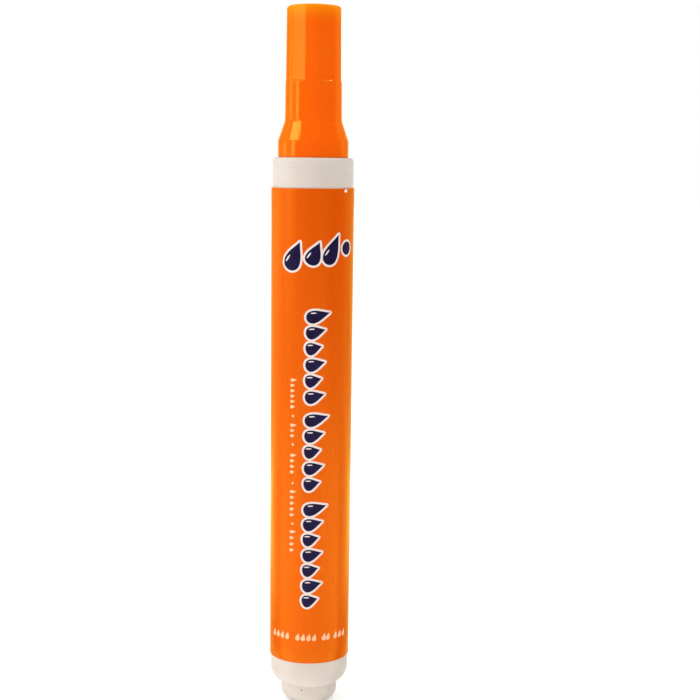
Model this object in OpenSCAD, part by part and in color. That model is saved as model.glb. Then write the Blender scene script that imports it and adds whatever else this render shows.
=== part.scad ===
// A liquid stain remover pen with a spring valve: press the nib on the cloth and the liquid flows.
// Millimetres. The pen stands on its tail, with its axis on Z and the tail's face at z = 0.

/* [Label and barrel] */
// Diameter over the label at the barrel's mouth
pen_d = 16.4; // [15.6:0.1:20]
// How much narrower the barrel is at its tail end, for the moulding's draft
barrel_draft = 0.3; // [0:0.05:0.8]
// Length of the barrel
barrel_l = 95; // [75:1:130]
// Wall of the barrel
barrel_wall = 1.3; // [0.9:0.05:1.4]
// Step from the barrel's bore out to the seats of its two plugs
seat_step = 0.15; // [0.1:0.05:0.3]
// Thickness of the label film
label_t = 0.1; // [0.05:0.05:0.2]
// Bare strip of barrel above and below the label
label_margin = 0.1; // [0:0.05:1]
// Width of the butt seam at the label's back
label_seam = 0.4; // [0.1:0.1:1]

/* [Tail plug] */
// Height of the foot below the flange
foot_l = 4; // [3:0.1:6]
// Rounding of the foot's lower edge
foot_round = 2.4; // [1:0.1:2.6]
// Height of the flange between the foot and the barrel
flange_l = 5.8; // [4.5:0.1:9]
// How far the flange lies inside the label's face
flange_step = 0.2; // [0:0.05:0.3]
// Rounding under the flange
flange_round = 3.6; // [2.6:0.1:4]
// Length of the plug inside the barrel
tail_seat_l = 8; // [5:0.5:14]
// Wall of the hollow plug
plug_wall = 1.15; // [0.9:0.05:1.5]
// Thickness of the foot's floor
foot_floor = 1.6; // [1:0.1:2.2]
// Diameter of the gate mark under the foot
gate_d = 2.4; // [1.5:0.1:4]
// Depth of the gate mark
gate_depth = 0.4; // [0.2:0.1:0.6]

/* [Front section] */
// Height of the collar between the barrel and the cap
band_l = 5.8; // [4.5:0.1:10]
// How far the collar lies inside the label's face
band_step = 0.2; // [0:0.05:0.4]
// Rounding of the collar's upper edge
band_round = 0.8; // [0.3:0.1:1]
// Length of the front section inside the barrel
front_seat_l = 8.4; // [6.4:0.2:11]
// Outer wall of the hollow part inside the barrel
insert_wall = 0.9; // [0.7:0.05:1.1]
// Diameter of the neck that holds the cap, and of the foot where the cap is posted
neck_d = 11.3; // [10.8:0.1:12.2]
// Height of the neck
neck_l = 3.2; // [2.8:0.1:5]
// Wall of the neck round the recess at the foot of the nose
neck_wall = 1; // [0.8:0.05:1.2]
// Floor left under that recess, above the collar
recess_floor = 1; // [0.5:0.1:2]
// Height of the snap bead above the collar
snap_z = 1.8; // [1.2:0.1:2]
// Length of the nose beyond the neck
nose_l = 11.1; // [9:0.1:14]
// Length of the straight sealing land at the foot of the nose
land_l = 5.1; // [3.5:0.1:6]
// Wall round the nib at the sealing land
land_wall = 1.4; // [1.2:0.1:2]
// Wall round the nib at the tip of the nose
tip_wall = 0.85; // [0.6:0.05:1.1]
// Number of air flutes along the nib's bore
flutes = 4; // [3:1:6]
// Width of an air flute
flute_w = 0.6; // [0.4:0.1:0.9]
// Depth of an air flute
flute_depth = 0.35; // [0.2:0.05:0.45]

/* [Nib] */
// Diameter of the nib
nib_d = 4; // [3.4:0.1:4.6]
// How far the nib stands out of the nose
nib_out = 6; // [3:0.1:8]
// Length of the nib's rounded end
nib_round_l = 3.6; // [3:0.1:4]
// Radius of the nib's shoulder
nib_ogive = 5; // [4.5:0.5:9]
// Radius of the nib's blunt point
nib_point = 2.4; // [2.1:0.1:3]
// How far the nib can be pressed in
nib_travel = 1.8; // [1:0.1:2.4]

/* [Valve] */
// Depth of the valve's seat below the barrel's mouth
valve_drop = 1.2; // [0.8:0.1:2]
// Height of the chamber over the valve
chamber_l = 6.8; // [6.6:0.1:7.4]
// Wall of the plunger's cup
cup_wall = 0.65; // [0.5:0.05:0.9]
// Depth of the cup that holds the nib
cup_depth = 3; // [2:0.1:3.2]
// Floor of the cup
cup_floor = 0.8; // [0.6:0.1:1.2]
// Free space between the cup and the chamber's wall
cup_space = 0.3; // [0.2:0.05:0.5]
// Diameter of the fluted stem
stem_d = 3; // [2.4:0.1:3.4]
// Thickness of the stem's four fins
fin_t = 0.8; // [0.5:0.1:1.2]
// Free space between the stem and the rim of its hole
stem_space = 0.2; // [0.15:0.05:0.4]
// Diameter of the valve head
head_d = 5.8; // [5.2:0.1:6.4]
// Thickness of the valve head
head_t = 1.2; // [0.8:0.1:1.6]
// Flow gap between the valve head and its cage
head_space = 0.7; // [0.5:0.05:1]
// Thickness of the gasket
gasket_t = 0.8; // [0.5:0.1:1.2]
// Thickness of the valve body's top wall
valve_top_t = 1; // [0.8:0.1:1.4]
// Wall of the valve body in its seat
valve_wall = 0.95; // [0.8:0.05:1.2]
// How much thinner the wall of the cage is
cage_step = 0.25; // [0.1:0.05:0.35]
// Wall of the tube that holds the valve body
seat_wall = 0.7; // [0.5:0.05:0.8]
// Number of ports in the cage
ports = 4; // [3:1:6]
// Width of a port
port_w = 1.8; // [1:0.1:2.2]
// Distance from the retainer to the lower end of the ports
port_rise = 1; // [0.5:0.1:1.5]

/* [Spring] */
// Length of the spring as fitted
spring_l = 9.7; // [8.5:0.1:12]
// Diameter of the wire
wire_d = 0.4; // [0.3:0.05:0.5]
// Number of turns
spring_turns = 7; // [5:1:8]
// Rise of the closed turn at each end
end_pitch = 0.85; // [0.8:0.05:1]
// Free space between the guide pin and the spring
guide_space = 0.6; // [0.3:0.1:0.8]
// Diameter of the guide pin and of the retainer's boss
guide_d = 2.2; // [1.6:0.1:2.4]
// Thickness of the spring retainer
retainer_t = 2.5; // [1.5:0.1:3.5]
// Height of the retainer's boss
boss_l = 0.8; // [0.4:0.1:1.2]
// Number of holes through the retainer
retainer_holes = 4; // [3:1:4]
// Diameter of a retainer hole
retainer_hole_d = 1; // [0.6:0.1:1.2]

/* [Cap] */
// Length of the cap
cap_l = 29.2; // [27:0.1:40]
// Wall of the cap round its upper bore
cap_wall = 1.15; // [0.8:0.05:1.4]
// How much the cap widens from its top to the flare, each side
cap_taper = 0.2; // [0:0.02:0.5]
// Height of the straight skirt
skirt_l = 3.2; // [2:0.05:3.4]
// Height of the flare above the skirt
flare_l = 3.9; // [3:0.05:5]
// Wall of the skirt
skirt_wall = 1.1; // [0.8:0.05:1.2]
// Depth of the groove inside the skirt for the snap bead
groove_depth = 0.12; // [0.06:0.02:0.2]
// Width of the groove
groove_w = 1; // [0.6:0.1:1.4]
// Rounding of the skirt's lower edge
rim_round = 0.25; // [0.1:0.05:0.4]
// Rounding of the cap's top edge
cap_round = 0.8; // [0.4:0.1:1.6]
// Thickness of the cap's top
cap_top_t = 1.2; // [0.8:0.1:2]
// Number of grip flats
flats = 6; // [4:1:8]
// Depth of a grip flat
flat_depth = 0.25; // [0.1:0.05:0.35]
// Distance from the top of the cap to the ledge below the flats
flat_l = 14.6; // [8:0.1:18]
// Height of the sloped ledge
ledge_h = 0.5; // [0.2:0.1:1]
// Angle of the first flat from the front
flat_turn = 28; // [0:1:60]
// Number of ribs that hold the liner
cap_ribs = 6; // [3:1:8]
// Width of a rib
rib_w = 0.8; // [0.5:0.1:1.2]
// Length of a rib
rib_l = 14; // [6:0.5:15]
// Wall of the cap's liner
liner_wall = 0.6; // [0.5:0.05:0.8]
// Thickness of the liner's closed end
liner_top_t = 0.7; // [0.5:0.1:1]
// Width of the liner's flange
liner_lip = 0.8; // [0.5:0.05:0.9]
// Thickness of the liner's flange
liner_flange_t = 0.8; // [0.6:0.1:1]
// Space between the liner's closed end and the cap's top
liner_space = 2.2; // [0.5:0.1:4]

/* [Liquid] */
// Height of the air space between the liquid and the valve
air_l = 8.8; // [3:0.1:20]

/* [Fits] */
// Radial gap of pieces that are pushed home and stay there
push_gap = 0.05; // [0.02:0.01:0.08]
// Radial gap left at a sealing bead
bead_gap = 0.02; // [0.01:0.01:0.02]
// Radial gap between the nib and its bore
nib_gap = 0.05; // [0.03:0.01:0.1]
// Radial gap between the cap's skirt and the neck
cap_gap = 0.2; // [0.18:0.01:0.25]
// Radial gap left between the snap bead and the cap's skirt
snap_gap = 0.04; // [0.02:0.01:0.04]
// Thickness of the glue under the label
glue_t = 0.02; // [0.01:0.01:0.04]

/* [Hidden] */
$fn = 96;
white = "#ece4db";
orange = "#fb6c0c";
label_orange = "#f2650f";
over = 1; // how far a cut runs past a face
arc_steps = 10; // steps in an arc that is cut through by flats
right = [1, 0];
up = [0, 1];
down = [0, -1];

// Heights along the pen
tail_z = foot_l + flange_l;
mouth_z = tail_z + barrel_l;
band_z = mouth_z + band_l;
neck_z = band_z + neck_l;
land_z = neck_z + land_l;
nose_z = neck_z + nose_l;
plug_end_z = tail_z + tail_seat_l;
insert_z = mouth_z - front_seat_l;

// Radii of the barrel, which runs in one straight taper from tail to mouth
barrel_mouth_r = pen_d / 2 - label_t - glue_t;
barrel_tail_r = barrel_mouth_r - barrel_draft / 2;
function along(a, b, z) = a + (b - a) * (z - tail_z) / barrel_l;
function barrel_r(z) = along(barrel_tail_r, barrel_mouth_r, z);
function bore_r(z) = barrel_r(z) - barrel_wall;
function label_in_r(z) = barrel_r(z) + glue_t;
function label_out_r(z) = label_in_r(z) + label_t;
tail_seat_r = bore_r(plug_end_z) + seat_step;
mouth_seat_r = bore_r(insert_z) + seat_step;
lead = 0.3; // lead-in chamfer of bores, inserts and cups

// Tail plug
plug_step_rise = 0.8; // height above the foot at which the hollow widens
foot_r = neck_d / 2;
flange_r = label_out_r(tail_z) - flange_step;
flange_cx = flange_r - flange_round;
flange_cz = foot_l + sqrt(pow(flange_round, 2) - pow(foot_r - flange_cx, 2));
plug_r = tail_seat_r - push_gap;
plug_in_r = plug_r - plug_wall;
foot_in_r = foot_r - plug_wall;
plug_step_z = foot_l + plug_step_rise;

// Front section
band_r = label_out_r(mouth_z) - band_step;
insert_r = mouth_seat_r - push_gap;
neck_r = neck_d / 2;
nib_r = nib_d / 2;
nib_bore_r = nib_r + nib_gap;
land_r = nib_bore_r + land_wall;
tip_r = nib_bore_r + tip_wall;
neck_edge = 0.4; // chamfer of the neck's upper edge
nose_edge = 0.3; // chamfer of the nose's tip
web_t = 1.8; // web between the hollow of the collar and its top
bead_w = 0.8; // width of a sealing bead
snap_w = 1.2; // width of the snap bead
bead_root = 0.3; // how far a bead's outline reaches into its wall

// Valve, from the chamber's floor down
valve_z = mouth_z - valve_drop;
chamber_z = valve_z + chamber_l;
cup_r = nib_r + push_gap + cup_wall;
chamber_r = cup_r + cup_space;
press_stop = 0.05; // gap left under the cup when the nib is fully pressed
cup_z = valve_z + nib_travel + press_stop;
nib_z = cup_z + cup_floor;
gasket_top_z = valve_z - valve_top_t;
head_z = gasket_top_z - gasket_t;
spring_top_z = head_z - head_t;
retainer_z = spring_top_z - spring_l;
valve_end_z = retainer_z - retainer_t;
stem_hole_r = stem_d / 2 + stem_space;
valve_bore_r = head_d / 2 + head_space;
valve_r = valve_bore_r + valve_wall;
cage_r = valve_r - cage_step;
valve_seat_r = valve_r + push_gap;
seat_tube_r = valve_seat_r + seat_wall;
guide_r = guide_d / 2;
guide_end_gap = 0.9; // room left between pin and boss when the nib is pressed
guide_l = spring_l - boss_l - nib_travel - guide_end_gap;
spring_r = guide_r + guide_space + wire_d / 2;
port_gap = 0.2; // distance from the ports' upper end to the front section
guide_point = 0.4; // chamfer of the guide pin and the boss
stem_fins = 4;
cup_slots = 4;
cup_slot_w = 0.7;

// Nib
nib_top_z = nose_z + nib_out;
nib_round_z = nib_top_z - nib_round_l;

// Cap
cap_z = band_z;
cap_top_z = cap_z + cap_l;
neck_room = 0.2; // space between the neck's upper edge and the cone inside the cap
cone_l = 2; // height of that cone
skirt_in_r = neck_r + cap_gap;
skirt_r = skirt_in_r + skirt_wall;
flare_z = cap_z + skirt_l;
flare_top_z = flare_z + flare_l;
liner_in_r = land_r + push_gap;
liner_r = liner_in_r + liner_wall;
liner_flange_r = liner_r + liner_lip;
rib_gap = 0.02; // radial gap between a rib and the liner
liner_space_r = 0.15; // radial space between the liner and the cap's bore, filled by the ribs
cap_bore_r = liner_r + liner_space_r;
cap_top_r = cap_bore_r + cap_wall;
cap_base_r = cap_top_r + cap_taper;
cap_cone_z = neck_z + neck_room;
liner_stop_z = cap_cone_z + cone_l;
cap_cone_r = liner_flange_r + liner_space_r;
cap_in_top_z = cap_top_z - cap_top_t;
liner_z = liner_stop_z - liner_flange_t;
liner_top_z = cap_in_top_z - liner_space;
groove_r = skirt_in_r + groove_depth;
snap_bead = cap_gap - snap_gap;
taper_angle = atan(cap_taper / (cap_top_z - flare_top_z));
function cap_r(z) = cap_base_r - (z - flare_top_z) * tan(taper_angle);
flare_blend = 0.5; // height of the bevels that ease the flare into the skirt and the body

// Liquid
liquid_gap = 0.05; // gap between the liquid and the walls round it
liquid_z = valve_end_z - air_l;

// Takes off an outline's sharp edge, outside the arc of radius r about c that runs
// from direction n1 to direction n2
module round_off(c, r, n1, n2)
    translate(c)
        difference() {
            polygon([[0, 0], (r + over) * n1, (r + over) * (n1 + n2), (r + over) * n2]);
            circle(r);
        }

// Points along an arc of radius r about c, from angle a to angle b
function arc(c, r, a, b) = [
    for (i = [0 : arc_steps])
        let (turn = a + (b - a) * i / arc_steps)
        c + r * [cos(turn), sin(turn)]
];

// Outline of a bead that stands h proud of a wall of radius r, centred at height z
module bead(r, z, h, w) {
    arc_r = (w * w / 4 + h * h) / (2 * h);
    intersection() {
        translate([r + h - arc_r, z]) circle(arc_r);
        translate([r - bead_root, z - w / 2]) square([bead_root + h, w]);
    }
}

// A ring of n cuts or ribs, each drawn on the +X side
module ring_of(n, first = 0)
    for (i = [0 : n - 1])
        rotate(first + i * 360 / n) children();

// Outline of the space inside the tail plug, drawn in by g all round
function plug_cavity(g, top) = [
    [0, foot_floor + g],
    [foot_in_r - g, foot_floor + g],
    [foot_in_r - g, plug_step_z],
    [plug_in_r - g, plug_step_z + plug_in_r - foot_in_r],
    [plug_in_r - g, top],
    [0, top]
];

module tail_plug_outline() {
    difference() {
        union() {
            square([foot_r, tail_z]);
            polygon([
                [0, flange_cz - flange_round],
                [flange_r, flange_cz - flange_round],
                [flange_r, tail_z],
                [0, tail_z]
            ]);
            translate([0, tail_z]) square([plug_r, tail_seat_l]);
            for (share = [0.4, 0.75])
                bead(plug_r, tail_z + share * tail_seat_l, push_gap - bead_gap, bead_w);
        }
        round_off([foot_r - foot_round, foot_round], foot_round, right, down);
        difference() {
            round_off([flange_cx, flange_cz], flange_round, right, down);
            square([foot_r, flange_cz]);
        }
        polygon([
            [plug_r - lead, plug_end_z],
            [plug_r + over, plug_end_z - lead - over],
            [plug_r + over, plug_end_z]
        ]);
    }
}

module tail_plug()
    color(white)
        difference() {
            rotate_extrude()
                difference() {
                    tail_plug_outline();
                    polygon(plug_cavity(0, plug_end_z + over));
                }
            translate([0, 0, -over]) cylinder(d = gate_d, h = gate_depth + over);
        }

module barrel()
    color(white)
        rotate_extrude()
            polygon([
                [tail_seat_r + lead, tail_z],
                [barrel_tail_r, tail_z],
                [barrel_mouth_r, mouth_z],
                [mouth_seat_r + lead, mouth_z],
                [mouth_seat_r, mouth_z - lead],
                [mouth_seat_r, insert_z],
                [bore_r(insert_z), insert_z],
                [bore_r(plug_end_z), plug_end_z],
                [tail_seat_r, plug_end_z],
                [tail_seat_r, tail_z + lead]
            ]);

module label_sleeve() {
    low = tail_z + label_margin;
    high = mouth_z - label_margin;
    seam_angle = label_seam / (PI * pen_d) * 360;
    color(label_orange)
        rotate_extrude(angle = 360 - seam_angle, start = 90 + seam_angle / 2)
            polygon([
                [label_in_r(low), low],
                [label_out_r(low), low],
                [label_out_r(high), high],
                [label_in_r(high), high]
            ]);
}

module front_outline()
    difference() {
        union() {
            translate([0, insert_z]) square([insert_r, front_seat_l]);
            translate([0, mouth_z]) square([band_r, band_l]);
            translate([0, band_z]) square([neck_r, neck_l]);
            polygon([
                [0, neck_z],
                [land_r, neck_z],
                [land_r, land_z],
                [tip_r, nose_z - nose_edge],
                [tip_r - nose_edge, nose_z],
                [0, nose_z]
            ]);
            for (share = [0.35, 0.7])
                bead(insert_r, mouth_z - share * front_seat_l, push_gap - bead_gap, bead_w);
            bead(neck_r, band_z + snap_z, snap_bead, snap_w);
            bead(land_r, liner_stop_z + bead_w, push_gap - bead_gap, bead_w);
        }
        round_off([band_r - band_round, band_z - band_round], band_round, right, up);
        polygon([
            [neck_r - neck_edge, neck_z],
            [neck_r, neck_z - neck_edge],
            [neck_r + over, neck_z - neck_edge],
            [neck_r + over, neck_z + over],
            [neck_r - neck_edge, neck_z + over]
        ]);
        polygon([
            [insert_r - lead, insert_z],
            [insert_r + over, insert_z + lead + over],
            [insert_r + over, insert_z]
        ]);
    }

module front_bores() {
    translate([0, insert_z - over]) square([valve_seat_r, valve_z - insert_z + over]);
    translate([0, valve_z - over]) square([chamber_r, chamber_l + over]);
    square([nib_bore_r, nose_z + over]);
    translate([land_r, band_z + recess_floor])
        square([neck_r - neck_wall - land_r, neck_l - recess_floor + over]);
    translate([seat_tube_r, insert_z - over])
        square([insert_r - insert_wall - seat_tube_r, band_z - web_t - insert_z + over]);
}

module front_section()
    color(white)
        difference() {
            rotate_extrude()
                difference() {
                    front_outline();
                    front_bores();
                }
            ring_of(flutes, 45)
                translate([0, -flute_w / 2, chamber_z - over])
                    cube([nib_bore_r + flute_depth, flute_w, nose_z - chamber_z + 2 * over]);
        }

module valve_body()
    color(white)
        difference() {
            rotate_extrude()
                polygon([
                    [stem_hole_r, valve_z],
                    [valve_r - lead, valve_z],
                    [valve_r, valve_z - lead],
                    [valve_r, insert_z],
                    [cage_r, insert_z - cage_step],
                    [cage_r, valve_end_z],
                    [valve_bore_r, valve_end_z],
                    [valve_bore_r, gasket_top_z],
                    [stem_hole_r, gasket_top_z]
                ]);
            ring_of(ports)
                translate([0, -port_w / 2, retainer_z + port_rise])
                    cube([valve_r + over, port_w, insert_z - port_gap - retainer_z - port_rise]);
        }

module valve_gasket()
    color("dimgray")
        translate([0, 0, head_z])
            difference() {
                cylinder(r = valve_bore_r - push_gap, h = gasket_t);
                translate([0, 0, -over]) cylinder(r = stem_hole_r, h = gasket_t + 2 * over);
            }

module plunger_cup()
    difference() {
        rotate_extrude()
            polygon([
                [0, cup_z],
                [cup_r - lead, cup_z],
                [cup_r, cup_z + lead],
                [cup_r, nib_z + cup_depth],
                [nib_r + push_gap, nib_z + cup_depth],
                [nib_r + push_gap, nib_z],
                [0, nib_z]
            ]);
        ring_of(cup_slots, 45)
            translate([nib_r - cup_wall, -cup_slot_w / 2, nib_z])
                cube([2 * cup_wall + over, cup_slot_w, cup_depth + over]);
    }

module plunger_stem()
    intersection() {
        translate([0, 0, head_z]) cylinder(d = stem_d, h = cup_z - head_z);
        ring_of(stem_fins)
            translate([0, -fin_t / 2, head_z]) cube([stem_d, fin_t, cup_z - head_z]);
    }

module plunger_head()
    rotate_extrude()
        polygon([
            [0, head_z],
            [head_d / 2, head_z],
            [head_d / 2, spring_top_z + head_t / 3],
            [head_d / 2 - head_t / 3, spring_top_z],
            [guide_r, spring_top_z],
            [guide_r, spring_top_z - guide_l + guide_point],
            [guide_r - guide_point, spring_top_z - guide_l],
            [0, spring_top_z - guide_l]
        ]);

module valve_plunger()
    color(white) {
        plunger_cup();
        plunger_stem();
        plunger_head();
    }

// Height of the wire's centre after t turns: a closed turn at each end, even turns between
function coil_z(t) =
    t < 1 ? t * end_pitch
    : t < spring_turns - 1 ? end_pitch + (t - 1) * coil_pitch
    : coil_span - (spring_turns - t) * end_pitch;
coil_span = spring_l - wire_d;
coil_pitch = (coil_span - 2 * end_pitch) / (spring_turns - 2);
coil_steps = 16; // rings of points in one turn
coil_sides = 8; // sides of the wire
wire_flat = wire_d / 2 / cos(180 / coil_sides); // corner radius that keeps the wire's full height

// Least clear distance between the wire and its own next turn
coil_gap = min([
    for (t = [0 : 1 / coil_steps : spring_turns - 1]) coil_z(t + 1) - coil_z(t) - wire_d
]);
echo(str("least gap between turns of the spring: ", coil_gap, " mm"));

module valve_spring() {
    rings = spring_turns * coil_steps;
    points = [
        for (i = [0 : rings], j = [0 : coil_sides - 1])
            let (turn = i * 360 / coil_steps, side = (j + 0.5) * 360 / coil_sides)
            let (r = spring_r + wire_flat * cos(side))
            [
                r * cos(turn),
                r * sin(turn),
                retainer_z + wire_d / 2 + coil_z(i / coil_steps) + wire_flat * sin(side)
            ]
    ];
    skin = [
        for (i = [0 : rings - 1], j = [0 : coil_sides - 1])
            let (a = i * coil_sides + j, b = i * coil_sides + (j + 1) % coil_sides)
            each [[a, b, b + coil_sides], [a, b + coil_sides, a + coil_sides]]
    ];
    ends = [
        for (j = [1 : coil_sides - 2])
            each [[0, j + 1, j], [0, j, j + 1] + [1, 1, 1] * rings * coil_sides]
    ];
    color("silver") polyhedron(points = points, faces = concat(skin, ends));
}

module spring_retainer()
    color(white)
        difference() {
            rotate_extrude()
                polygon([
                    [0, valve_end_z],
                    [valve_bore_r - push_gap, valve_end_z],
                    [valve_bore_r - push_gap, retainer_z - lead],
                    [valve_bore_r - push_gap - lead, retainer_z],
                    [guide_r, retainer_z],
                    [guide_r, retainer_z + boss_l - guide_point],
                    [guide_r - guide_point, retainer_z + boss_l],
                    [0, retainer_z + boss_l]
                ]);
            ring_of(retainer_holes, 45)
                translate([(spring_r + wire_d / 2 + valve_bore_r) / 2, 0, valve_end_z - over])
                    cylinder(d = retainer_hole_d, h = retainer_t + 2 * over);
        }

module nib()
    color("ivory")
        rotate_extrude() {
            translate([0, nib_z]) square([nib_r, nib_round_z - nib_z]);
            intersection() {
                translate([nib_r - nib_ogive, nib_round_z]) circle(nib_ogive);
                translate([0, nib_top_z - nib_point]) circle(nib_point);
                translate([0, nib_round_z]) square([nib_r, nib_top_z - nib_round_z]);
            }
        }

module cap_outline() {
    top_cx = cap_top_r + cap_round * tan(taper_angle) - cap_round / cos(taper_angle);
    flare_slope = (skirt_r - cap_base_r) / flare_l;
    difference() {
        polygon([
            [0, cap_z],
            [skirt_r, cap_z],
            [skirt_r, flare_z - flare_blend],
            [skirt_r - flare_slope * flare_blend / 2, flare_z + flare_blend / 2],
            [cap_base_r + flare_slope * flare_blend / 2, flare_top_z - flare_blend / 2],
            [cap_r(flare_top_z + flare_blend), flare_top_z + flare_blend],
            each arc([top_cx, cap_top_z - cap_round], cap_round, taper_angle, 90),
            [0, cap_top_z]
        ]);
        round_off([skirt_r - rim_round, cap_z + rim_round], rim_round, right, down);
    }
}

module cap_cavity()
    polygon([
        [0, cap_z - over],
        [skirt_in_r + lead, cap_z - over],
        [skirt_in_r + lead, cap_z],
        [skirt_in_r, cap_z + lead],
        [skirt_in_r, cap_z + snap_z - groove_w / 2],
        [groove_r, cap_z + snap_z - groove_w / 4],
        [groove_r, cap_z + snap_z + groove_w / 4],
        [skirt_in_r, cap_z + snap_z + groove_w / 2],
        [skirt_in_r, cap_cone_z],
        [cap_cone_r, liner_stop_z],
        [cap_bore_r, liner_stop_z],
        [cap_bore_r, cap_in_top_z],
        [0, cap_in_top_z]
    ]);

// One grip flat, cut parallel to the cap's tapered side, with a sloped ledge at its foot
module grip_flat()
    translate([cap_top_r, 0, cap_top_z])
        rotate([0, -taper_angle, 0])
            rotate([90, 0, 0])
                translate([0, 0, -cap_top_r])
                    linear_extrude(2 * cap_top_r)
                        polygon([
                            [-flat_depth, over],
                            [-flat_depth, -flat_l + ledge_h],
                            [0, -flat_l],
                            [over, -flat_l - ledge_h * over / flat_depth],
                            [over, over]
                        ]);

module cap_shell()
    color(orange) {
        difference() {
            rotate_extrude()
                difference() {
                    cap_outline();
                    cap_cavity();
                }
            ring_of(flats, flat_turn - 90) grip_flat();
        }
        ring_of(cap_ribs)
            translate([liner_r + rib_gap, -rib_w / 2, liner_stop_z + over])
                cube([cap_bore_r - liner_r - rib_gap + cap_wall / 4, rib_w, rib_l]);
    }

module cap_liner()
    color(orange)
        rotate_extrude()
            polygon([
                [liner_in_r + lead, liner_z],
                [liner_flange_r, liner_z],
                [liner_flange_r, liner_stop_z],
                [liner_r, liner_stop_z],
                [liner_r, liner_top_z - lead],
                [liner_r - lead, liner_top_z],
                [0, liner_top_z],
                [0, liner_top_z - liner_top_t],
                [liner_in_r, liner_top_z - liner_top_t],
                [liner_in_r, liner_z + lead]
            ]);

module cleaning_liquid() {
    low = plug_end_z + liquid_gap;
    color("lightcyan")
        rotate_extrude() {
            polygon(plug_cavity(liquid_gap, low));
            polygon([
                [0, low],
                [bore_r(low) - liquid_gap, low],
                [bore_r(liquid_z) - liquid_gap, liquid_z],
                [0, liquid_z]
            ]);
        }
}

tail_plug();
barrel();
label_sleeve();
front_section();
valve_body();
valve_gasket();
valve_plunger();
valve_spring();
spring_retainer();
nib();
cap_shell();
cap_liner();
cleaning_liquid();
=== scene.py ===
import math
import random

import bmesh
import bpy
from mathutils import Matrix, Vector


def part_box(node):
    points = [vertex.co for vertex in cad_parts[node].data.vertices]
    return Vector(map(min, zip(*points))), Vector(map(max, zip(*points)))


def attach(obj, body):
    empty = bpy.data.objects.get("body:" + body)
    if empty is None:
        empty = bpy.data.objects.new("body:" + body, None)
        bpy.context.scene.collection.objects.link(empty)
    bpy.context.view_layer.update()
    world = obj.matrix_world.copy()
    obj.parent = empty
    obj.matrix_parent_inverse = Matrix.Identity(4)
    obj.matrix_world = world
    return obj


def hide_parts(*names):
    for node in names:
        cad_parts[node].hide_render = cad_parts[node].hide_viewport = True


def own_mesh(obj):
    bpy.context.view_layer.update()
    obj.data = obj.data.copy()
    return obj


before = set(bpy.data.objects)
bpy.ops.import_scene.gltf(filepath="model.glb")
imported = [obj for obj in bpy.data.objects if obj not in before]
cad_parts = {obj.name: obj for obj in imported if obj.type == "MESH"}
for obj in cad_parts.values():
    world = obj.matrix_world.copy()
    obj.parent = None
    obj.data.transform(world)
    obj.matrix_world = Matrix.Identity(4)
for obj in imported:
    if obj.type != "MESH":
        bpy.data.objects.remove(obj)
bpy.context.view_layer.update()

# A stain remover pen that stands on its tail. Sizes are in millimetres unless they say otherwise,
# heights are on Z, and an angle is counted round the pen from the front, positive to the right.
MM = 0.001


def heights(node):
    """Lowest and highest point of a solid."""
    low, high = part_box(node)
    return low.z / MM, high.z / MM


def radius(node):
    """Reach of a solid to the right of the pen's axis."""
    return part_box(node)[1].x / MM


tail_z, mouth_z = heights("barrel")
plug_end_z = heights("tail_plug")[1]
label_low_z, label_high_z = heights("label_sleeve")
insert_z, nose_z = heights("front_section")
valve_z = heights("valve_body")[1]
nib_z, nib_top_z = heights("nib")
rim_z, cap_top_z = heights("cap_shell")
flange_r = radius("tail_plug")
label_r = radius("label_sleeve")
band_r = radius("front_section")
nib_r = radius("nib")
skirt_r = radius("cap_shell")
liner_flange_r = radius("cap_liner")


# The camera, where the photographer's stood

def aim(eye, pitch, roll):
    """Camera matrix at eye, in millimetres: looks along +Y, tipped down by pitch and rolled by
    roll, in degrees."""
    tip, turn = math.radians(pitch), math.radians(roll)
    ahead = Vector((0, math.cos(tip), -math.sin(tip)))
    side = Vector((1, 0, 0))
    top = side.cross(ahead)
    across = side * math.cos(turn) + top * math.sin(turn)
    up = top * math.cos(turn) - side * math.sin(turn)
    matrix = Matrix((across, up, -ahead)).transposed().to_4x4()
    matrix.translation = Vector(eye) * MM
    return matrix


camera = bpy.data.objects.new("camera", bpy.data.cameras.new("camera"))
camera.data.lens = 74.55
camera.data.sensor_width = 36
camera.data.clip_start = 0.01
camera.matrix_world = aim(eye=(7.71, -288.14, 110.71), pitch=7.568, roll=0.68)
bpy.context.collection.objects.link(camera)
bpy.context.scene.camera = camera


# Outlines and skins

def arc(centre, r, start, end, steps=8):
    """Points on an arc in the (radius, height) plane, 0 degrees outwards and 90 up."""
    return [
        (
            centre[0] + r * math.cos(math.radians(start + (end - start) * i / steps)),
            centre[1] + r * math.sin(math.radians(start + (end - start) * i / steps)),
        )
        for i in range(steps + 1)
    ]


HOLD = 0.12  # distance from a rounding to the row of points that keeps the flat beside it flat


def eased(corners, steps=6):
    """The outline through corners (radius, height, rounding), with each corner rounded off."""
    points = [corners[0][:2]]
    for before, corner, after in zip(corners, corners[1:], corners[2:]):
        p, q, s = (Vector(c[:2]) for c in (before, corner, after))
        rounding = corner[2]
        if rounding == 0:
            points.append(tuple(q))
            continue
        back, ahead = (p - q).normalized(), (s - q).normalized()
        half = back.angle(ahead) / 2
        reach = rounding / math.tan(half)
        centre = q + (back + ahead).normalized() * rounding / math.sin(half)
        first, last = q + back * reach - centre, q + ahead * reach - centre
        start = math.degrees(math.atan2(first.y, first.x))
        sweep = math.degrees(math.atan2(last.y, last.x)) - start
        sweep = (sweep + 180) % 360 - 180
        if (p - q).length > reach + 2 * HOLD:
            points.append(tuple(q + back * (reach + HOLD)))
        points += arc(centre, rounding, start, start + sweep, steps)
        if (s - q).length > reach + 2 * HOLD:
            points.append(tuple(q + ahead * (reach + HOLD)))
    return points + [corners[-1][:2]]


def polar(r, angle, z):
    """The point at radius r and height z, in metres, at angle from the front."""
    a = math.radians(angle)
    return Vector((r * math.sin(a), -r * math.cos(a), z)) * MM


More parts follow.
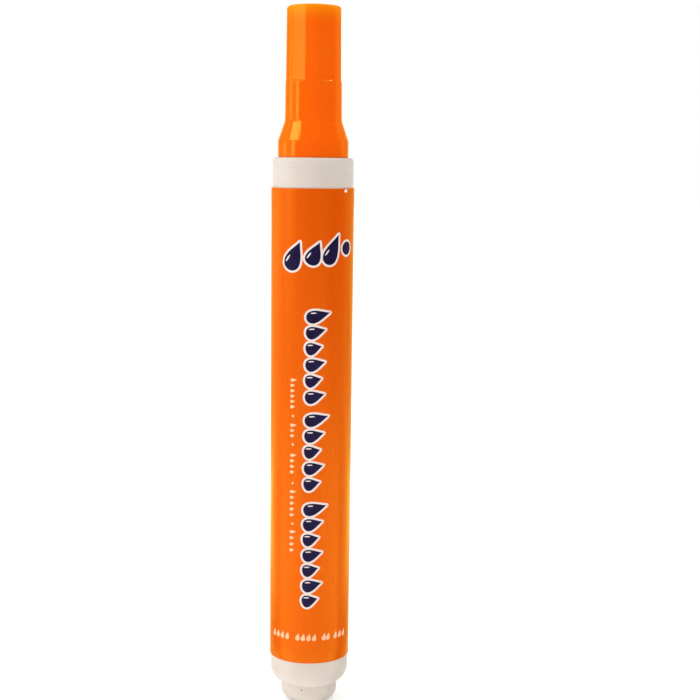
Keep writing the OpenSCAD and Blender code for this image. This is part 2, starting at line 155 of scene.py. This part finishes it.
def finished(name, mesh_edit, crease=32):
    """Turns a bmesh into an object with smooth faces and crisp edges."""
    bmesh.ops.recalc_face_normals(mesh_edit, faces=mesh_edit.faces)
    mesh = bpy.data.meshes.new(name)
    mesh_edit.to_mesh(mesh)
    mesh_edit.free()
    mesh.shade_smooth()
    mesh.set_sharp_from_angle(angle=math.radians(crease))
    piece = bpy.data.objects.new(name, mesh)
    bpy.context.collection.objects.link(piece)
    return piece


def turned(mesh_edit, outline, angles, shape=None, closed=False):
    """Adds the skin that an outline sweeps round the axis. Points at radius 0 become one vertex.
    shape(r, z, angle) may change the radius on the way round, and closed joins last to first."""
    rings = []
    for r, z in outline:
        if r < 1e-6:
            rings.append([mesh_edit.verts.new(polar(0, 0, z))])
        else:
            rings.append([
                mesh_edit.verts.new(polar(shape(r, z, a) if shape else r, a, z)) for a in angles
            ])
    pairs = list(zip(rings, rings[1:])) + ([(rings[-1], rings[0])] if closed else [])
    count = len(angles)
    for low, high in pairs:
        for i in range(count):
            j = (i + 1) % count
            if len(low) == 1 and len(high) == 1:
                break
            if len(low) == 1:
                mesh_edit.faces.new((low[0], high[i], high[j]))
            elif len(high) == 1:
                mesh_edit.faces.new((low[i], low[j], high[0]))
            else:
                mesh_edit.faces.new((low[i], low[j], high[j], high[i]))


def even(count):
    return [360 * i / count for i in range(count)]


ROUND = even(144)


# Materials

def linear(code):
    """A hex colour as the shader's linear values."""
    parts = [int(code[i:i + 2], 16) / 255 for i in (0, 2, 4)]
    return [p / 12.92 if p < 0.04045 else ((p + 0.055) / 1.055) ** 2.4 for p in parts] + [1]


class Finish:
    """A procedural material: one Principled shader with noise for its colour, gloss and bumps."""

    def __init__(self, name, **constants):
        self.material = bpy.data.materials.new(name)
        self.material.use_nodes = True
        self.tree = self.material.node_tree
        self.shader = self.tree.nodes["Principled BSDF"]
        self.place = self.add("ShaderNodeTexCoord").outputs["Object"]
        self.bump = None
        for socket, value in constants.items():
            self.shader.inputs[socket.replace("_", " ")].default_value = value

    def add(self, kind, links=None, **values):
        node = self.tree.nodes.new(kind)
        for key, value in values.items():
            setattr(node, key, value)
        for socket, source in (links or {}).items():
            if isinstance(source, bpy.types.NodeSocket):
                self.tree.links.new(source, node.inputs[socket])
            else:
                node.inputs[socket].default_value = source
        return node

    def noise(self, scale, detail=3, stretch=(1, 1, 1)):
        """Noise of scale cycles a metre, drawn out along an axis where stretch is under 1."""
        place = self.add("ShaderNodeMapping", {"Vector": self.place, "Scale": stretch})
        links = {"Vector": place.outputs["Vector"], "Scale": scale, "Detail": detail}
        return self.add("ShaderNodeTexNoise", links).outputs["Fac"]

    def spread(self, source, low, high):
        """The middle half of a noise, spread over low to high."""
        links = {"Value": source, 1: 0.25, 2: 0.75, 3: low, 4: high}
        return self.add("ShaderNodeMapRange", links).outputs["Result"]

    def colour(self, source, stops):
        ramp = self.add("ShaderNodeValToRGB", {"Fac": source})
        while len(ramp.color_ramp.elements) < len(stops):
            ramp.color_ramp.elements.new(0.5)
        for element, (place, code) in zip(ramp.color_ramp.elements, stops):
            element.position, element.color = place, linear(code)
        self.tree.links.new(ramp.outputs["Color"], self.shader.inputs["Base Color"])

    def glow(self, low, high, code):
        """Paints a glow: blends the colour into a lighter one from the height low to high, in
        metres.
        """
        height = self.add("ShaderNodeSeparateXYZ", {"Vector": self.place}).outputs["Z"]
        share = self.add("ShaderNodeMapRange", {"Value": height, 1: low, 2: high})
        share = self.add("ShaderNodeMath", {0: share.outputs["Result"], 1: 2}, operation="POWER")
        target = self.shader.inputs["Base Color"]
        colours = {0: share.outputs[0], 6: target.links[0].from_socket, 7: linear(code)}
        blend = self.add("ShaderNodeMix", colours, data_type="RGBA")
        self.tree.links.new(blend.outputs[2], target)

    def gloss(self, source, low, high):
        self.tree.links.new(self.spread(source, low, high), self.shader.inputs["Roughness"])

    def bumps(self, source, height):
        """Adds bumps of a real height in millimetres on top of those before."""
        links = {"Height": source, "Distance": height * MM, "Strength": 1}
        if self.bump:
            links["Normal"] = self.bump
        self.bump = self.add("ShaderNodeBump", links).outputs["Normal"]
        self.tree.links.new(self.bump, self.shader.inputs["Normal"])


# The orange surfaces swallow much of the blue in what they reflect
WARM_VARNISH = (1, 0.9, 0.17, 1)
WARM_SHEEN = (1, 0.82, 0.4, 1)


def white_plastic():
    m = Finish("white_plastic", Specular_IOR_Level=0.15, Subsurface_Weight=0.12,
               Subsurface_Radius=(1.0, 0.85, 0.6), Subsurface_Scale=0.8 * MM)
    m.colour(m.noise(260, 4), [(0.3, "d3c9bd"), (0.7, "d9cfc4")])
    m.gloss(m.noise(900), 0.40, 0.52)
    m.bumps(m.noise(5200, 2), 0.0035)
    m.bumps(m.noise(130, 2), 0.02)
    return m.material


def cap_plastic():
    m = Finish("cap_plastic", Specular_IOR_Level=0.25, Coat_Weight=1.0, Coat_IOR=1.04,
               Coat_Roughness=0.08, Coat_Tint=WARM_VARNISH, Subsurface_Weight=0.2,
               Subsurface_Radius=(1.0, 0.32, 0.06), Subsurface_Scale=1.4 * MM)
    m.colour(m.noise(120, 3), [(0.3, "ff6102"), (0.7, "ff6703")])
    m.glow((cap_top_z - 4) * MM, cap_top_z * MM, "ff9810")  # painted glow: the colour turns lighter towards the top edge, where light gets in
    m.gloss(m.noise(700), 0.05, 0.1)
    m.bumps(m.noise(210, 2, (1, 1, 0.35)), 0.008)
    m.bumps(m.noise(6000, 1), 0.0006)
    return m.material


def label_film():
    m = Finish("label_film", Specular_IOR_Level=0.24, Specular_Tint=WARM_SHEEN,
               Coat_Weight=1.0, Coat_IOR=1.04, Coat_Roughness=0.26, Coat_Tint=WARM_VARNISH)
    m.colour(m.noise(90, 3, (1, 1, 0.1)), [(0.3, "de5101"), (0.7, "e15402")])
    m.gloss(m.noise(300, 2, (1, 1, 0.2)), 0.25, 0.29)
    m.bumps(m.noise(100, 2, (1, 1, 0.04)), 0.006)
    m.bumps(m.noise(2600, 2), 0.0006)
    return m.material


def ink(name, dark, pale, roughness):
    m = Finish(name, Specular_IOR_Level=0.03)
    m.colour(m.noise(700, 3), [(0.35, dark), (0.65, pale)])
    m.gloss(m.noise(2400), roughness - 0.04, roughness + 0.04)
    m.bumps(m.noise(4200, 2), 0.0015)
    return m.material


def natural_plastic():
    m = Finish("natural_plastic", Specular_IOR_Level=0.35, Subsurface_Weight=0.35,
               Subsurface_Radius=(1.0, 0.95, 0.85), Subsurface_Scale=1.5 * MM)
    m.colour(m.noise(300, 3), [(0.3, "e3e3de"), (0.7, "ecece8")])
    m.gloss(m.noise(800), 0.3, 0.42)
    m.bumps(m.noise(2500, 2), 0.002)
    return m.material


def felt():
    m = Finish("felt", Roughness=0.95, Specular_IOR_Level=0.1, Sheen_Weight=0.25,
               Sheen_Roughness=0.6)
    fibres = m.noise(5200, 5, (1, 1, 0.14))
    m.colour(fibres, [(0.25, "d9d0bd"), (0.5, "eee8da"), (0.75, "faf6ec")])
    m.bumps(fibres, 0.06)
    m.bumps(m.noise(1500, 3), 0.05)
    return m.material


def steel():
    m = Finish("steel", Metallic=1.0)
    drawn = m.noise(9000, 2, (1, 1, 0.3))
    m.colour(drawn, [(0.3, "b4b5b8"), (0.7, "d0d0d2")])
    m.gloss(drawn, 0.2, 0.34)
    return m.material


def rubber():
    m = Finish("rubber", Specular_IOR_Level=0.3)
    m.colour(m.noise(1800, 3), [(0.3, "242424"), (0.7, "303030")])
    m.gloss(m.noise(1500), 0.6, 0.75)
    m.bumps(m.noise(4000, 2), 0.004)
    return m.material


def liquid():
    m = Finish("liquid", IOR=1.33, Transmission_Weight=0.9)
    m.colour(m.noise(60, 2), [(0.3, "e6f3f6"), (0.7, "eef8fa")])
    m.gloss(m.noise(200), 0.0, 0.04)
    return m.material


white = white_plastic()
orange = cap_plastic()
film = label_film()
navy = ink("navy_ink", "150b2c", "1c1640", 0.3)
cream = ink("cream_ink", "f2dfd9", "f6e8e3", 0.34)
peach = ink("peach_ink", "fcc596", "ffcfa4", 0.34)
bare = ink("bare_film", "fdeee3", "fff6ee", 0.34)
natural = natural_plastic()

NODE_FINISHES = {
    "barrel": white,
    "valve_body": natural,
    "valve_plunger": natural,
    "spring_retainer": natural,
    "cap_liner": natural,
    "valve_gasket": rubber(),
    "cleaning_liquid": liquid(),
}
for node, finish in NODE_FINISHES.items():
    for material_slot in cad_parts[node].material_slots:
        material_slot.material = finish


def dress(piece, finish, body, slot, *nodes):
    piece.data.materials.append(finish)
    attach(piece, body)
    if nodes:
        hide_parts(*nodes)
    return piece


# Tail plug: foot, flange and the hollow plug inside the barrel

neck_r = 5.65  # the foot is as wide as the neck, so that the cap can be posted on it
foot_l = 4.0
foot_round = 2.4
flange_round = 3.6
foot_wall, foot_floor = 1.15, 1.6
gate_r, gate_depth = 1.2, 0.4
plug_r, plug_in_r = 6.74, 5.59
funnel_z, funnel_top_z = foot_l + 0.8, foot_l + 1.7  # where the hollow widens into the plug


def tail_plug():
    flange_cx = flange_r - flange_round
    flange_cz = foot_l + math.sqrt(flange_round ** 2 - (neck_r - flange_cx) ** 2)
    start = -math.degrees(math.acos((neck_r - flange_cx) / flange_round))
    outline = eased([
        (0, gate_depth, 0),
        (gate_r - 0.05, gate_depth, 0.1),
        (gate_r, 0, 0.08),
        (neck_r, 0, foot_round),
        (neck_r, foot_l - 0.06, 0),
        (neck_r + 0.05, foot_l, 0),
    ], 12)
    outline += arc((flange_cx, flange_cz), flange_round, start + 2, 0, 14)
    outline += eased([
        (flange_r, flange_cz + HOLD, 0),
        (flange_r, tail_z, 0.06),
        (plug_r, tail_z, 0.05),
        (plug_r, plug_end_z, 0.3),
        (plug_in_r, plug_end_z, 0.1),
        (plug_in_r, funnel_top_z, 0.2),
        (neck_r - foot_wall, funnel_z, 0.2),
        (neck_r - foot_wall, foot_floor, 0.3),
        (0, foot_floor, 0),
    ])
    shell = bmesh.new()
    turned(shell, outline, ROUND)
    return finished("tail_plug_moulding", shell)


dress(tail_plug(), white, "barrel", "white_plastic", "tail_plug")


# Front section: insert, collar, neck with its snap bead, recess and nose

neck_z = rim_z + 3.2
snap_z = rim_z + 1.8
recess_z, recess_wall = rim_z + 1, 1
land_z = neck_z + 5.1
land_r, tip_r = 3.45, 2.9
bore_r = nib_r + 0.05
chamber_z, chamber_r = valve_z + 6.8, 3.0
insert_r, cage_r = 6.86, 4.6
flute_r, flute_half = bore_r + 0.35, 8.0  # flute_half is half a flute's width in degrees


def fluted(r, z, angle):
    """The radius with four air flutes along the nib's bore."""
    away = abs(angle % 90 - 45)
    return flute_r if abs(r - bore_r) < 1e-3 and away < flute_half else r


def front_section():
    snap_out = 0.16
    bead = [
        (neck_r + snap_out * (0.5 + 0.5 * math.cos(math.pi * t)), snap_z + 0.6 * t, 0)
        for t in (-1, -0.75, -0.5, -0.25, 0, 0.25, 0.5, 0.75, 1)
    ]
    seal_z = neck_z + 3
    seal = [(land_r + 0.03 * (1 - t * t), seal_z + 0.4 * t, 0) for t in (-1, -0.5, 0, 0.5, 1)]
    start_r = insert_r - 0.6
    outline = eased([
        (start_r, insert_z, 0),
        (insert_r, insert_z, 0.3),
        (insert_r, mouth_z, 0.1),
        (band_r, mouth_z, 0.12),
        (band_r, rim_z, 0.8),
        (neck_r, rim_z, 0.1),
        *bead,
        (neck_r, neck_z, 0.4),
        (neck_r - recess_wall, neck_z, 0.15),
        (neck_r - recess_wall, recess_z, 0.25),
        (land_r, recess_z, 0.25),
        *seal,
        (land_r, land_z, 0.4),
        (tip_r, nose_z, 0.3),
        (bore_r, nose_z, 0),
        (bore_r, chamber_z, 0),
        (chamber_r, chamber_z, 0.1),
        (chamber_r, valve_z, 0.1),
        (cage_r, valve_z, 0.1),
        (cage_r, insert_z, 0),
        (start_r, insert_z, 0),
    ], 7)[:-1]
    edges = [45 + 90 * k + side * (flute_half + gap)
             for k in range(4) for side in (-1, 1) for gap in (-0.4, 0.4)]
    shell = bmesh.new()
    turned(shell, outline, sorted(ROUND + edges), fluted, closed=True)
    return finished("front_moulding", shell)


dress(front_section(), white, "barrel", "white_plastic", "front_section")


# Cap: tapered body with six shallow grip flats, flare and straight skirt

cap_bore_r = 4.25
cap_top_r, cap_base_r = 5.4, 5.6
flare_z = rim_z + 3.2
flare_top_z = flare_z + 3.9
flats, first_flat = 6, 28
flat_depth, side_depth = 0.25, 0.14  # the two flats at the sides are the shallower ones
ledge_z, ledge_h = cap_top_z - 14.6, 0.3
soft = 0.05  # softness of the edges beside a flat


def cap_side_r(z):
    share = (z - flare_top_z) / (cap_top_z - flare_top_z)
    return cap_base_r + (cap_top_r - cap_base_r) * share


def flatted(r, z, angle):
    """The radius with the grip flats cut in, as a soft minimum of round and flat."""
    if z < ledge_z - 0.01 or r < cap_bore_r + 0.1:
        return r
    number, away = divmod(angle - first_flat + 180 / flats, 360 / flats)
    away -= 180 / flats
    depth = (side_depth if number % 3 == 1 else flat_depth) * min(1, (z - ledge_z) / ledge_h)
    flat = (cap_side_r(z) - depth) / math.cos(math.radians(away))
    return (r + flat - math.hypot(r - flat, soft)) / 2


def cap():
    top_in_z = cap_top_z - 1.2
    skirt_in_r = neck_r + 0.2
    groove_r = skirt_in_r + 0.12
    shelf_z = neck_z + 2.2  # the liner's flange rests against it
    ledge_rows = [ledge_z + ledge_h * t / 8 for t in (*range(-2, 11), 14)]
    outline = eased([
        (0, top_in_z, 0),
        (cap_bore_r, top_in_z, 0.3),
        (cap_bore_r, shelf_z, 0),
        (liner_flange_r + 0.15, shelf_z, 0.1),
        (skirt_in_r, neck_z + 0.2, 0.2),
        (skirt_in_r, snap_z + 0.5, 0),
        (groove_r, snap_z + 0.25, 0),
        (groove_r, snap_z - 0.25, 0),
        (skirt_in_r, snap_z - 0.5, 0),
        (skirt_in_r, rim_z + 0.3, 0),
        (skirt_in_r + 0.3, rim_z, 0.06),
        (skirt_r, rim_z, 0.25),
        (skirt_r, flare_z, 0.9),
        (cap_base_r, flare_top_z, 2.2),
        *((cap_side_r(z), z, 0) for z in ledge_rows),
        (cap_top_r, cap_top_z, 0.8),
        (0, cap_top_z, 0),
    ], 10)
    half = math.degrees(math.acos(1 - flat_depth / cap_top_r))
    steps = (-2.2, -1.2, -0.7, -0.35, 0, 0.35, 0.7, 1.2, 2.2)
    edges = [first_flat + 360 * k / flats + side * half + gap
             for k in range(flats) for side in (-1, 1) for gap in steps]
    shell = bmesh.new()
    turned(shell, outline, sorted(a % 360 for a in even(180) + edges), flatted)
    ribs, rib_t, rib_w, rib_l = 6, 0.38, 0.8, 14  # they hold the liner
    rib_r, rib_z = 4.31, shelf_z + 1
    for k in range(ribs):
        spin = Matrix.Rotation(math.radians(360 * k / ribs), 4, "Z")
        size = Matrix.Diagonal(Vector((rib_t, rib_w, rib_l, 1 / MM)) * MM)
        place = Matrix.Translation(Vector((rib_r, 0, rib_z + rib_l / 2)) * MM)
        bmesh.ops.create_cube(shell, matrix=spin @ place @ size)
    return finished("cap_moulding", shell)


dress(cap(), orange, "cap", "orange_plastic", "cap_shell")


# Return spring: round wire with a closed turn at each end, which shortens as the nib is pressed

wire_r, spring_turns, end_pitch = 0.2, 7, 0.85
spring_z, spring_top_z = heights("valve_spring")


def spring():
    span = spring_top_z - spring_z - 2 * wire_r
    pitch = (span - 2 * end_pitch) / (spring_turns - 2)

    def rise(turn):
        if turn < 1:
            return turn * end_pitch
        if turn < spring_turns - 1:
            return end_pitch + (turn - 1) * pitch
        return span - (spring_turns - turn) * end_pitch

    wire = bmesh.new()
    steps, sides = 32, 12
    coil_r = radius("valve_spring") - wire_r
    rings = []
    for i in range(spring_turns * steps + 1):
        turn = i / steps
        z = spring_z + wire_r + rise(turn)
        rings.append([
            wire.verts.new(polar(coil_r + wire_r * math.cos(t), 90 + 360 * turn,
                                 z + wire_r * math.sin(t)))
            for t in (2 * math.pi * k / sides for k in range(sides))
        ])
    for low, high in zip(rings, rings[1:]):
        for k in range(sides):
            j = (k + 1) % sides
            wire.faces.new((low[k], low[j], high[j], high[k]))
    wire.faces.new(rings[0])
    wire.faces.new(rings[-1])
    return finished("return_spring", wire, 50)


coil = dress(spring(), steel(), "barrel", "spring_steel", "valve_spring")
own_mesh(coil)


# Nib: a felt bullet

def nib():
    round_z, ogive, point = nib_top_z - 3.6, 5.0, 2.4
    rows = 26
    outline = eased([(0, nib_z, 0), (nib_r, nib_z, 0.2), (nib_r, round_z - 0.1, 0)])
    for i in range(rows + 1):
        z = round_z + (nib_top_z - round_z) * math.sin(math.pi / 2 * i / rows)
        shoulder = nib_r - ogive + math.sqrt(max(0, ogive ** 2 - (z - round_z) ** 2))
        end = math.sqrt(max(0, point ** 2 - (z - nib_top_z + point) ** 2))
        outline.append((min(shoulder, end), z))
    body = bmesh.new()
    turned(body, outline, even(96))
    dice = random.Random(7)
    for vert in body.verts:  # pressed felt is never quite true
        r = Vector((vert.co.x, vert.co.y)).length / MM
        if r > 0.3 and vert.co.z / MM > nose_z:
            vert.co.xy *= 1 - dice.uniform(0, 0.008)
    return finished("nib_felt", body, 60)


dress(nib(), felt(), "nib", "nib_felt", "nib")


# Label: a thin film round the barrel, with a butt seam at the back

label_t = 0.1
draft_r = 0.15  # how much narrower the barrel is at its tail end
mean_r = label_r - draft_r / 2
seam = math.degrees(0.4 / label_r)


def label_face(z):
    """Radius of the label's printed face."""
    return label_r - draft_r * (label_high_z - z) / (mouth_z - tail_z)


def label():
    film_edit = bmesh.new()
    columns = 150
    spots = [180 + seam / 2 + (360 - seam) * i / columns for i in range(columns + 1)]
    rows = [label_low_z + (label_high_z - label_low_z) * i / 24 for i in range(25)]
    rows = [rows[0], rows[0] + 0.04, *rows[1:-1], rows[-1] - 0.04, rows[-1]]

    def face(z, depth):
        edge = 0.025 if z in (rows[0], rows[-1]) else 0
        return [film_edit.verts.new(polar(label_face(z) - depth - edge, a, z)) for a in spots]

    outer = [face(z, 0) for z in rows]
    inner = [face(z, label_t - 0.03) for z in rows]
    for skin in (outer, inner):
        for low, high in zip(skin, skin[1:]):
            for i in range(columns):
                film_edit.faces.new((low[i], low[i + 1], high[i + 1], high[i]))
    for k in (0, -1):
        for i in range(columns):
            film_edit.faces.new((outer[k][i], outer[k][i + 1], inner[k][i + 1], inner[k][i]))
        for i in range(len(rows) - 1):
            film_edit.faces.new((outer[i][k], outer[i + 1][k], inner[i + 1][k], inner[i][k]))
    return finished("label_film", film_edit)


dress(label(), film, "barrel", "label_film", "label_sleeve")


# Print: plain drops and dots where the pen has its lettering

def on_label(across, z, lift):
    """A point lift above the label's face, at a distance across it from the front."""
    return polar(label_face(z) + lift, math.degrees(across / mean_r), z)


def outline_of(kind, wide, tall):
    """Points of a flat shape about (0, 0)."""
    count = 40
    turns = [2 * math.pi * i / count for i in range(count)]
    if kind == "drop":
        return [(wide * 0.65 * math.sin(t) * math.sin(t / 2) ** 1.6, tall / 2 * math.cos(t))
                for t in turns]
    return [(wide / 2 * math.cos(t), tall / 2 * math.sin(t)) for t in turns]


def grown(points, margin):
    """The outline moved outwards by margin."""
    moved = []
    for i, (x, y) in enumerate(points):
        ahead, behind = points[(i + 1) % len(points)], points[i - 1]
        normal = Vector((ahead[1] - behind[1], behind[0] - ahead[0]))
        if normal.dot(Vector((x, y))) < 0:
            normal.negate()
        normal.normalize()
        moved.append((x + normal.x * margin, y + normal.y * margin))
    return moved


def decal(name, finish, shapes):
    """One printed layer. A shape is (points, centre across, centre z, turn in degrees, lift)."""
    sheet = bmesh.new()
    for points, across, z, turn, lift in shapes:
        c, s = math.cos(math.radians(turn)), math.sin(math.radians(turn))
        rings = []
        for share in (0.25, 0.5, 0.75, 1):
            rings.append([
                sheet.verts.new(on_label(across + share * (x * c - y * s),
                                         z + share * (x * s + y * c), lift))
                for x, y in points
            ])
        middle = sheet.verts.new(on_label(across, z, lift))
        count = len(points)
        for i in range(count):
            j = (i + 1) % count
            sheet.faces.new((middle, rings[0][i], rings[0][j]))
            for low, high in zip(rings, rings[1:]):
                sheet.faces.new((low[i], low[j], high[j], high[i]))
    piece = finished(name, sheet, 180)
    return dress(piece, finish, "barrel", "label_film")


under, over_ink, top_ink = 0.012, 0.022, 0.030  # how far each layer of ink stands off the film
rim_w = 0.42  # width of the pale rim round each navy shape


def rimmed(kind, wide, tall, across, z, turn, order):
    """A navy shape with its pale rim below, and on a drop a thin glint along its flank."""
    points = outline_of(kind, wide, tall)
    step = 0.0015 * (order % 4)
    rims.append((grown(points, rim_w), across, z, turn, under + step))
    marks.append((points, across, z, turn, over_ink + step))
    if kind == "drop":
        glint = outline_of("dot", wide * 0.09, wide * 0.42)
        c, s = math.cos(math.radians(turn)), math.sin(math.radians(turn))
        x, y = -0.27 * wide, -0.17 * tall
        glints.append((glint, across + x * c - y * s, z + x * s + y * c, turn - 12, top_ink + step))


rims, marks, glints, dots = [], [], [], []

# Emblem: three drops and a dot in a rising row, leaning to the right
emblem_z, emblem_rise, emblem_lean = 91.0, 0.16, -24
emblem = [  # kind, place across, width, height
    ("drop", -3.4, 3.9, 6.0),
    ("drop", 0.7, 3.3, 4.8),
    ("drop", 4.4, 3.3, 6.4),
    ("dot", 7.9, 2.5, 2.6),
]
for order, (kind, across, wide, tall) in enumerate(emblem):
    z = emblem_z + emblem_rise * (across - emblem[0][1]) + tall * 0.12
    rimmed(kind, wide, tall, across, z, emblem_lean, order)

# Title: three chains of drops that read down the pen, the first drop of each the largest
title_z = 81.7
title_lean = 0.008  # drift to the left for each millimetre down
order = 0
for high, low, count in [(title_z, 62.6, 6), (61.3, 45.1, 5), (43.3, 21.4, 7)]:
    pitch = (high - low) / count
    for i in range(count):
        z = high - pitch * (i + 0.5)
        tall = 4.9 if i == 0 else (3.3, 4.0)[i % 2]
        across = 0.85 - title_lean * (title_z - z) + (tall - 3.5) / 2
        rimmed("drop", 2.75, tall, across, z, -76, order)
        order += 1

# Line of small drops beside the title: five runs with a dot between them
line_across = -3.55
for high, low in [(67.9, 61.5), (58.9, 55.7), (52.9, 48.4), (45.6, 39.7), (37.5, 32.5)]:
    count = round((high - low) / 1.15)
    for i in range(count):
        z = high - (high - low) * (i + 0.5) / count
        long = 1.45 if i == 0 else 1.05
        across = line_across + (long - 1) / 2
        dots.append((outline_of("drop", 0.72, long), across, z, -84, under))
for z in (60.2, 54.5, 46.7, 38.5):
    dots.append((outline_of("dot", 0.5, 0.5), line_across + 0.1, z, 0, under))

# Row of small drops round the foot of the label
row_z, row_tall = 15.35, 1.6
for first, last, count in [(-62, -27, 4), (-19, 13, 4), (20, 33, 2), (38, 64, 3)]:
    for i in range(count):
        angle = first + (last - first) * (i + 0.5) / count
        across = math.radians(angle) * mean_r
        dots.append((outline_of("drop", 1.0, row_tall), across, row_z, -12, under))

decal("print_rims", cream, rims)
decal("print_marks", navy, marks)
decal("print_glints", cream, glints)
decal("print_dots", peach, dots)

# Wear: a chip in the film at the collar, and a dark fleck on the foot
chip_at = math.radians(53) * mean_r
chip = [(0.42 * math.cos(t) * (1 - 0.35 * math.sin(2 * t)), 0.36 * math.sin(t))
        for t in (2 * math.pi * i / 16 for i in range(16))]
decal("print_chip", bare, [(chip, chip_at, label_high_z - 0.45, 40, under)])


def fleck(angle, z, size):
    spot = bmesh.new()
    face_r = neck_r + 0.006
    half = math.degrees(size * 1.3 / neck_r)
    ring = [
        spot.verts.new(polar(face_r, angle + half * math.cos(t), z + size * math.sin(t)))
        for t in (2 * math.pi * i / 12 for i in range(12))
    ]
    middle = spot.verts.new(polar(face_r, angle, z))
    for a, b in zip(ring, ring[1:] + ring[:1]):
        spot.faces.new((middle, a, b))
    return finished("foot_fleck", spot, 180)


dress(fleck(-13.3, 3.4, 0.13), ink("fleck", "5e574f", "6b6459", 0.6), "barrel", "white_plastic")


# Light, floor and background

def soft_light(name, azimuth, distance, height, wide, tall, radiance, shine_only=False):
    """A soft light that faces the pen. Sizes are in metres, radiance 1 looks white."""
    lamp = bpy.data.lights.new(name, "AREA")
    lamp.shape = "RECTANGLE"
    lamp.size, lamp.size_y = wide, tall
    lamp.energy = radiance * math.pi * wide * tall
    light = bpy.data.objects.new(name, lamp)
    a = math.radians(azimuth)
    light.location = (distance * math.sin(a), -distance * math.cos(a), height)
    facing = Vector((0, 0, 0.09)) - light.location
    light.rotation_euler = facing.to_track_quat("-Z", "Y").to_euler()
    light.visible_diffuse = not shine_only
    light.visible_camera = False
    bpy.context.collection.objects.link(light)
    return light


# Each row: name, azimuth, distance, height, width, tallness, radiance
for row in [
    ("light_left", -92, 0.75, 0.38, 0.85, 0.75, 1.35),
    ("light_front", -52, 0.25, 0.26, 0.2, 0.2, 1.2),
    ("light_right", 112, 0.9, 0.3, 0.4, 0.7, 0.75),
    ("light_top", 48, 0.45, 0.75, 0.4, 0.35, 1.9),
]:
    soft_light(*row)
bpy.data.objects["light_front"].visible_glossy = False

for row in [
    ("shine_left", -105, 0.8, 0.05, 0.7, 0.1, 2.0),
    ("shine_front", -62, 0.8, 0.05, 0.5, 0.1, 4.5),
    ("shine_strip", -66, 0.6, 0.135, 0.13, 0.07, 7.0),
    ("shine_edge", -102, 0.6, 0.15, 0.12, 0.1, 3.0),
    ("shine_flat", -66, 0.6, 0.25, 0.12, 0.16, 4.2),
    ("shine_high", -72, 0.6, 0.48, 0.42, 0.16, 12.0),
    ("shine_high_edge", -112, 0.6, 0.48, 0.08, 0.16, 8.0),
    ("shine_ledge_left", -82, 0.34, 0.5, 0.16, 0.12, 9.0),
    ("shine_ledge_right", 76, 0.34, 0.53, 0.22, 0.16, 20.0),
]:
    soft_light(*row, shine_only=True)

# Panels that lie on the floor and face up, each a little above the last so that all are seen
for order, (name, azimuth, distance, wide, deep, radiance) in enumerate([
    ("shine_low", 0, 0.19, 0.55, 0.37, 5.0),
    ("shine_low_far", 0, 0.52, 1.0, 0.27, 4.0),
    ("shine_low_left", -90, 0.34, 0.56, 0.4, 1.6),
    ("shine_low_right", 90, 0.34, 0.56, 0.4, 1.6),
    ("shine_low_strip", -36, 0.19, 0.04, 0.37, 1.5),
]):
    height = 0.0002 * (order + 1)
    panel = soft_light(name, azimuth, distance, height, wide, deep, radiance, shine_only=True)
    turn = math.radians(azimuth) if name == "shine_low_strip" else 0
    panel.rotation_euler = (math.pi, 0, turn)

world = bpy.data.worlds.new("studio")
bpy.context.scene.world = world
world.use_nodes = True
tree = world.node_tree
tree.nodes.clear()
output = tree.nodes.new("ShaderNodeOutputWorld")
seen = tree.nodes.new("ShaderNodeBackground")
ambient = tree.nodes.new("ShaderNodeBackground")
ambient.inputs["Color"].default_value = (1, 0.985, 0.965, 1)
ambient.inputs["Strength"].default_value = 0.775


def seen_directly(nodes):
    """1 for rays from the camera, in gloss or through glass, 0 for those that bring light."""
    path = nodes.nodes.new("ShaderNodeLightPath")
    value = path.outputs["Is Camera Ray"]
    for name in ("Is Glossy Ray", "Is Transmission Ray"):
        larger = nodes.nodes.new("ShaderNodeMath")
        larger.operation = "MAXIMUM"
        nodes.links.new(value, larger.inputs[0])
        nodes.links.new(path.outputs[name], larger.inputs[1])
        value = larger.outputs[0]
    return value


mix = tree.nodes.new("ShaderNodeMixShader")
tree.links.new(seen_directly(tree), mix.inputs[0])
tree.links.new(ambient.outputs[0], mix.inputs[1])
tree.links.new(seen.outputs[0], mix.inputs[2])
tree.links.new(mix.outputs[0], output.inputs[0])
seen.inputs["Color"].default_value = (1, 1, 1, 1)
seen.inputs["Strength"].default_value = 1.0


def floor():
    """A pale floor that the camera sees a little brighter than it is lit, so that it fades out."""
    ground = bmesh.new()
    bmesh.ops.create_grid(ground, x_segments=2, y_segments=2, size=3)
    plane = finished("floor", ground)
    paint = bpy.data.materials.new("floor")
    paint.use_nodes = True
    tree = paint.node_tree
    tree.nodes.clear()
    matte, glow, both, mixed, out, place, near, fade = (tree.nodes.new(kind) for kind in (
        "ShaderNodeBsdfDiffuse", "ShaderNodeEmission", "ShaderNodeAddShader",
        "ShaderNodeMixShader", "ShaderNodeOutputMaterial", "ShaderNodeTexCoord",
        "ShaderNodeVectorMath", "ShaderNodeMapRange"))
    matte.inputs["Color"].default_value = (0.86, 0.86, 0.86, 1)
    near.operation = "LENGTH"
    # The glow rises from 0.34 at 0.1 m from the pen to 0.6 at 0.6 m and beyond
    for socket, value in ((1, 0.1), (2, 0.6), (3, 0.34), (4, 0.6)):
        fade.inputs[socket].default_value = value
    tree.links.new(place.outputs["Object"], near.inputs[0])
    tree.links.new(near.outputs["Value"], fade.inputs[0])
    tree.links.new(fade.outputs[0], glow.inputs["Strength"])
    tree.links.new(matte.outputs[0], both.inputs[0])
    tree.links.new(glow.outputs[0], both.inputs[1])
    tree.links.new(seen_directly(tree), mixed.inputs[0])
    tree.links.new(matte.outputs[0], mixed.inputs[1])
    tree.links.new(both.outputs[0], mixed.inputs[2])
    tree.links.new(mixed.outputs[0], out.inputs[0])
    plane.data.materials.append(paint)
    return plane


floor()

bpy.context.scene.view_settings.view_transform = "Standard"
